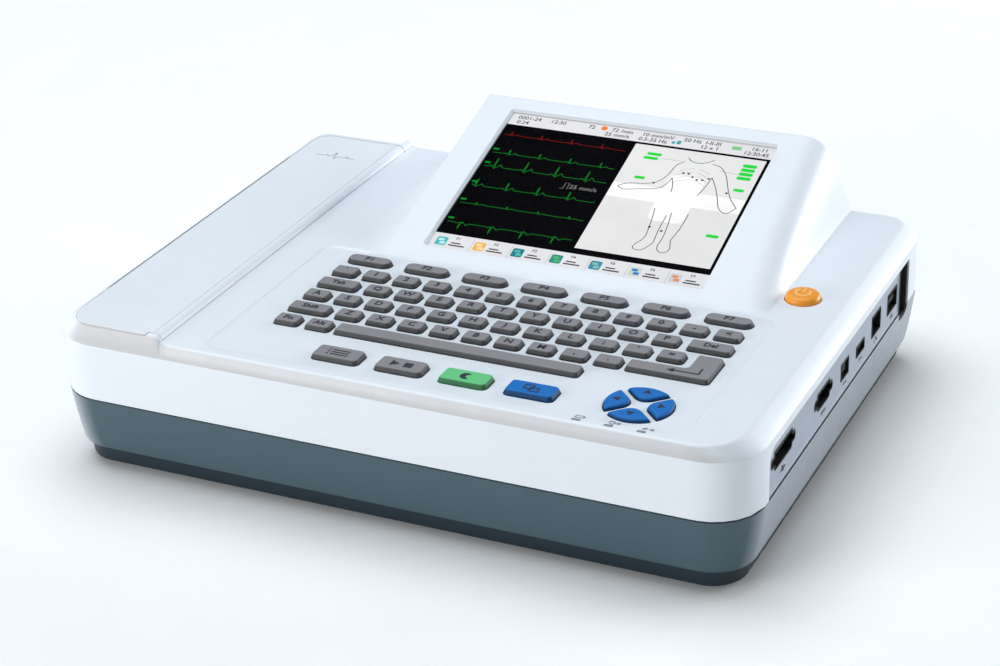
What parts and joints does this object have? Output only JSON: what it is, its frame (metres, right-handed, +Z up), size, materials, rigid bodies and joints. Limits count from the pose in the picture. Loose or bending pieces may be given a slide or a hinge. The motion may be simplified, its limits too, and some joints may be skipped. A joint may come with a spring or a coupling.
{
  "type": "ecg machine",
  "caption": "Desktop electrocardiograph with a sloping display hump, rubber keyboard, hinged thermal-printer lid, side socket panel and slate lower tray.",
  "frame": {"origin": "under the middle of the case, on the surface that the feet stand on", "axes": "+X to the operator's right along the width, +Y to the rear, +Z up"},
  "size_m": [0.408, 0.313, 0.1317],
  "materials": {
    "case_white": "fine satin moulded ABS",
    "case_slate": "fine-textured moulded ABS",
    "panel_silver": "satin silver-grey plastic",
    "socket_black": "black connector plastic",
    "key_grey": "soft-touch silicone rubber",
    "key_green": "soft-touch silicone rubber",
    "key_blue": "soft-touch silicone rubber",
    "button_orange": "satin orange plastic",
    "lens_clear": "clear window",
    "screen_dark": "display module",
    "rubber_black": "matt rubber",
    "steel": "satin steel",
    "board_green": "circuit board laminate",
    "paper_white": "thermal paper",
    "gear_white": "natural acetal",
    "battery_blue": "shrink-wrapped cells"
  },
  "bodies": {
    "case": {"top_cover": "case_white", "lower_shell": "case_slate", "port_panel": "panel_silver", "side_slot_insert": "socket_black", "ecg_socket": "socket_black", "serial_socket": "socket_black", "usb_b_socket": "socket_black", "usb_a_socket": "socket_black", "lan_socket": "socket_black", "auxiliary_socket": "socket_black", "mains_inlet": "socket_black", "earth_post": "steel", "display_lens": "lens_clear", "display_panel": "screen_dark", "display_bracket": "steel", "keypad_board": "board_green", "main_board": "board_green", "power_supply": "board_green", "battery_pack": "battery_blue", "battery_door": "case_slate", "speaker": "socket_black", "light_pipe": "lens_clear", "paper_bin": "case_slate", "print_head": "steel", "feed_motor": "steel", "tear_bar": "steel", "roll_spindle": "gear_white", "lid_hinge_pin": "steel", "foot_front_left": "rubber_black", "foot_front_right": "rubber_black", "foot_rear_left": "rubber_black", "foot_rear_right": "rubber_black", "case_screw_1": "steel", "case_screw_2": "steel", "case_screw_3": "steel", "case_screw_4": "steel"},
    "lid": {"paper_lid": "case_white"},
    "platen": {"platen_roller": "rubber_black", "platen_shaft": "steel", "platen_gear": "gear_white"},
    "pinion": {"motor_pinion": "steel"},
    "roll": {"paper_roll": "paper_white"},
    "latch": {"lid_latch": "case_slate"},
    "key_row_function_body": {"key_row_function": "key_grey"},
    "key_row_numbers_body": {"key_row_numbers": "key_grey"},
    "key_row_upper_body": {"key_row_upper": "key_grey"},
    "key_row_home_body": {"key_row_home": "key_grey"},
    "key_row_lower_body": {"key_row_lower": "key_grey"},
    "key_row_control_body": {"key_row_control": "key_grey"},
    "space_bar_body": {"space_bar": "key_grey"},
    "enter_key_body": {"enter_key": "key_grey"},
    "mode_key_body": {"mode_key": "key_grey"},
    "start_stop_key_body": {"start_stop_key": "key_grey"},
    "sleep_key_body": {"sleep_key": "key_green"},
    "copy_key_body": {"copy_key": "key_blue"},
    "arrow_right_body": {"arrow_right": "key_blue"},
    "arrow_up_body": {"arrow_up": "key_blue"},
    "arrow_left_body": {"arrow_left": "key_blue"},
    "arrow_down_body": {"arrow_down": "key_blue"},
    "power_button_body": {"power_button": "button_orange"}
  },
  "joints": [
    {"name": "lid_hinge", "type": "hinge", "parent": "case", "child": "lid", "pos_m": [-0.1343, 0, 0.0868], "axis": [0, 1, 0], "range_deg": [0, 95]},
    {"name": "platen_spin", "type": "hinge", "parent": "lid", "child": "platen", "pos_m": [-0.1815, 0, 0.0773], "axis": [0, 1, 0], "continuous": true},
    {"name": "pinion_spin", "type": "hinge", "parent": "case", "child": "pinion", "pos_m": [-0.17762, 0, 0.06663], "axis": [0, 1, 0], "continuous": true},
    {"name": "paper_roll_spin", "type": "hinge", "parent": "case", "child": "roll", "pos_m": [-0.16, 0, 0.0395], "axis": [0, 1, 0], "continuous": true},
    {"name": "latch_slide", "type": "slide", "parent": "case", "child": "latch", "axis": [1, 0, 0], "range_m": [0, 0.003]},
    {"name": "key_row_function_press", "type": "slide", "parent": "case", "child": "key_row_function_body", "axis": [0, 0, -1], "range_m": [0, 0.0012], "stiffness_N_per_m": 800, "springref_m": -0.0005},
    {"name": "key_row_numbers_press", "type": "slide", "parent": "case", "child": "key_row_numbers_body", "axis": [0, 0, -1], "range_m": [0, 0.0012], "stiffness_N_per_m": 800, "springref_m": -0.0005},
    {"name": "key_row_upper_press", "type": "slide", "parent": "case", "child": "key_row_upper_body", "axis": [0, 0, -1], "range_m": [0, 0.0012], "stiffness_N_per_m": 800, "springref_m": -0.0005},
    {"name": "key_row_home_press", "type": "slide", "parent": "case", "child": "key_row_home_body", "axis": [0, 0, -1], "range_m": [0, 0.0012], "stiffness_N_per_m": 800, "springref_m": -0.0005},
    {"name": "key_row_lower_press", "type": "slide", "parent": "case", "child": "key_row_lower_body", "axis": [0, 0, -1], "range_m": [0, 0.0012], "stiffness_N_per_m": 800, "springref_m": -0.0005},
    {"name": "key_row_control_press", "type": "slide", "parent": "case", "child": "key_row_control_body", "axis": [0, 0, -1], "range_m": [0, 0.0012], "stiffness_N_per_m": 800, "springref_m": -0.0005},
    {"name": "space_bar_press", "type": "slide", "parent": "case", "child": "space_bar_body", "axis": [0, 0, -1], "range_m": [0, 0.0012], "stiffness_N_per_m": 800, "springref_m": -0.0005},
    {"name": "enter_key_press", "type": "slide", "parent": "case", "child": "enter_key_body", "axis": [0, 0, -1], "range_m": [0, 0.0012], "stiffness_N_per_m": 800, "springref_m": -0.0005},
    {"name": "mode_key_press", "type": "slide", "parent": "case", "child": "mode_key_body", "axis": [0, 0, -1], "range_m": [0, 0.0012], "stiffness_N_per_m": 800, "springref_m": -0.0005},
    {"name": "start_stop_key_press", "type": "slide", "parent": "case", "child": "start_stop_key_body", "axis": [0, 0, -1], "range_m": [0, 0.0012], "stiffness_N_per_m": 800, "springref_m": -0.0005},
    {"name": "sleep_key_press", "type": "slide", "parent": "case", "child": "sleep_key_body", "axis": [0, 0, -1], "range_m": [0, 0.0012], "stiffness_N_per_m": 800, "springref_m": -0.0005},
    {"name": "copy_key_press", "type": "slide", "parent": "case", "child": "copy_key_body", "axis": [0, 0, -1], "range_m": [0, 0.0012], "stiffness_N_per_m": 800, "springref_m": -0.0005},
    {"name": "arrow_right_press", "type": "slide", "parent": "case", "child": "arrow_right_body", "axis": [0, 0, -1], "range_m": [0, 0.0012], "stiffness_N_per_m": 800, "springref_m": -0.0005},
    {"name": "arrow_up_press", "type": "slide", "parent": "case", "child": "arrow_up_body", "axis": [0, 0, -1], "range_m": [0, 0.0012], "stiffness_N_per_m": 800, "springref_m": -0.0005},
    {"name": "arrow_left_press", "type": "slide", "parent": "case", "child": "arrow_left_body", "axis": [0, 0, -1], "range_m": [0, 0.0012], "stiffness_N_per_m": 800, "springref_m": -0.0005},
    {"name": "arrow_down_press", "type": "slide", "parent": "case", "child": "arrow_down_body", "axis": [0, 0, -1], "range_m": [0, 0.0012], "stiffness_N_per_m": 800, "springref_m": -0.0005},
    {"name": "power_button_press", "type": "slide", "parent": "case", "child": "power_button_body", "axis": [0, 0, -1], "range_m": [0, 0.0015], "stiffness_N_per_m": 800, "springref_m": -0.0005}
  ],
  "couplings": [
    {"joint": "pinion_spin", "follows": "platen_spin", "ratio": -1.3333},
    {"joint": "paper_roll_spin", "follows": "platen_spin", "ratio": -0.3125}
  ]
}
